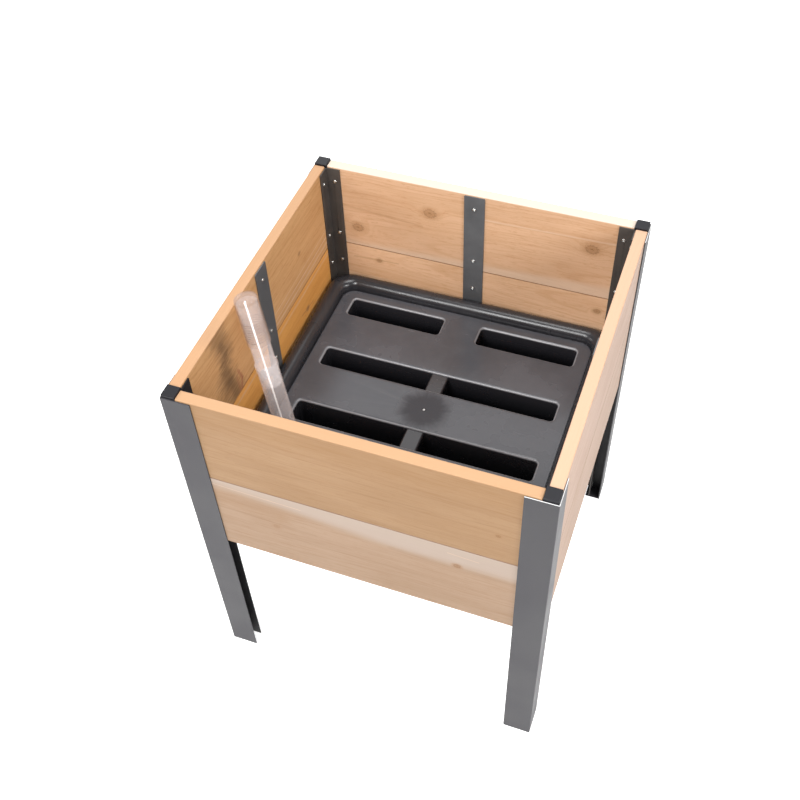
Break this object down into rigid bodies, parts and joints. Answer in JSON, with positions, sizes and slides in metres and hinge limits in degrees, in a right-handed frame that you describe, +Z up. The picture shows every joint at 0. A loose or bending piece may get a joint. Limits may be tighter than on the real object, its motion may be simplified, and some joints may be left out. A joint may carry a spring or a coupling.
{
  "type": "raised planter on legs",
  "caption": "Square raised planter box of lapped cedar boards on steel angle legs, with a lift-out self-watering tray, a wicking platform and a clear fill tube.",
  "frame": {"origin": "on the floor, midway between the four legs", "axes": "+Z up, -Y towards the front wall, +X to the right as seen from the front"},
  "size_m": [0.61, 0.61, 0.7546],
  "materials": {
    "cedar_upper": "sawn and sanded",
    "cedar_lower": "sawn and sanded",
    "slat_wood": "rough sawn",
    "leg_steel": "satin powder coat",
    "inner_steel": "satin powder coat",
    "strap_steel": "satin powder coat",
    "screw_steel": "zinc plated",
    "cap_plastic": "fine texture",
    "tray_plastic": "soft gloss",
    "platform_plastic": "soft gloss",
    "plug_rubber": "matte",
    "clear_tube": "clear",
    "clear_cap": "clear",
    "float_plastic": "moulded"
  },
  "bodies": {
    "frame": {"board_lower_back": "cedar_lower", "board_lower_front": "cedar_lower", "board_lower_left": "cedar_lower", "board_lower_right": "cedar_lower", "board_upper_back": "cedar_upper", "board_upper_front": "cedar_upper", "board_upper_left": "cedar_upper", "board_upper_right": "cedar_upper", "corner_cap_back_left": "cap_plastic", "corner_cap_back_right": "cap_plastic", "corner_cap_front_left": "cap_plastic", "corner_cap_front_right": "cap_plastic", "corner_screws_back_left": "screw_steel", "corner_screws_back_right": "screw_steel", "corner_screws_front_left": "screw_steel", "corner_screws_front_right": "screw_steel", "foot_plate_back_left": "leg_steel", "foot_plate_back_right": "leg_steel", "foot_plate_front_left": "leg_steel", "foot_plate_front_right": "leg_steel", "ledge_left": "strap_steel", "ledge_right": "strap_steel", "ledge_screws": "screw_steel", "leg_inner_angle_back_left": "inner_steel", "leg_inner_angle_back_right": "inner_steel", "leg_inner_angle_front_left": "inner_steel", "leg_inner_angle_front_right": "inner_steel", "leg_outer_angle_back_left": "leg_steel", "leg_outer_angle_back_right": "leg_steel", "leg_outer_angle_front_left": "leg_steel", "leg_outer_angle_front_right": "leg_steel", "leg_post_back_left": "inner_steel", "leg_post_back_right": "inner_steel", "leg_post_front_left": "inner_steel", "leg_post_front_right": "inner_steel", "slat_screws": "screw_steel", "strap_back": "strap_steel", "strap_front": "strap_steel", "strap_left": "strap_steel", "strap_right": "strap_steel", "strap_screws_back": "screw_steel", "strap_screws_front": "screw_steel", "strap_screws_left": "screw_steel", "strap_screws_right": "screw_steel", "tray_slat_1": "slat_wood", "tray_slat_2": "slat_wood", "tray_slat_3": "slat_wood", "tray_slat_4": "slat_wood", "tray_slat_5": "slat_wood"},
    "tray": {"reservoir_tray": "tray_plastic"},
    "drain_plug": {"drain_plug": "plug_rubber"},
    "platform": {"soil_platform": "platform_plastic"},
    "fill_tube": {"fill_tube_lower": "clear_tube", "fill_tube_upper": "clear_tube"},
    "tube_cap": {"tube_cap": "clear_cap"},
    "level_float": {"level_float": "float_plastic"}
  },
  "joints": [
    {"name": "tray_lift", "type": "slide", "parent": "frame", "child": "tray", "axis": [0, 0, 1], "range_m": [0, 0.4]},
    {"name": "drain_plug_pull", "type": "slide", "parent": "tray", "child": "drain_plug", "axis": [0, 0, -1], "range_m": [0, 0.03]},
    {"name": "platform_lift", "type": "slide", "parent": "tray", "child": "platform", "axis": [0, 0, 1], "range_m": [0, 0.36]},
    {"name": "fill_tube_lift", "type": "slide", "parent": "platform", "child": "fill_tube", "axis": [-0.1848, 0.1082, 0.9768], "range_m": [0, 0.38]},
    {"name": "tube_cap_lift", "type": "slide", "parent": "fill_tube", "child": "tube_cap", "axis": [-0.1848, 0.1082, 0.9768], "range_m": [0, 0.11]},
    {"name": "float_rise", "type": "slide", "parent": "fill_tube", "child": "level_float", "axis": [-0.1848, 0.1082, 0.9768], "range_m": [0, 0.08]}
  ]
}
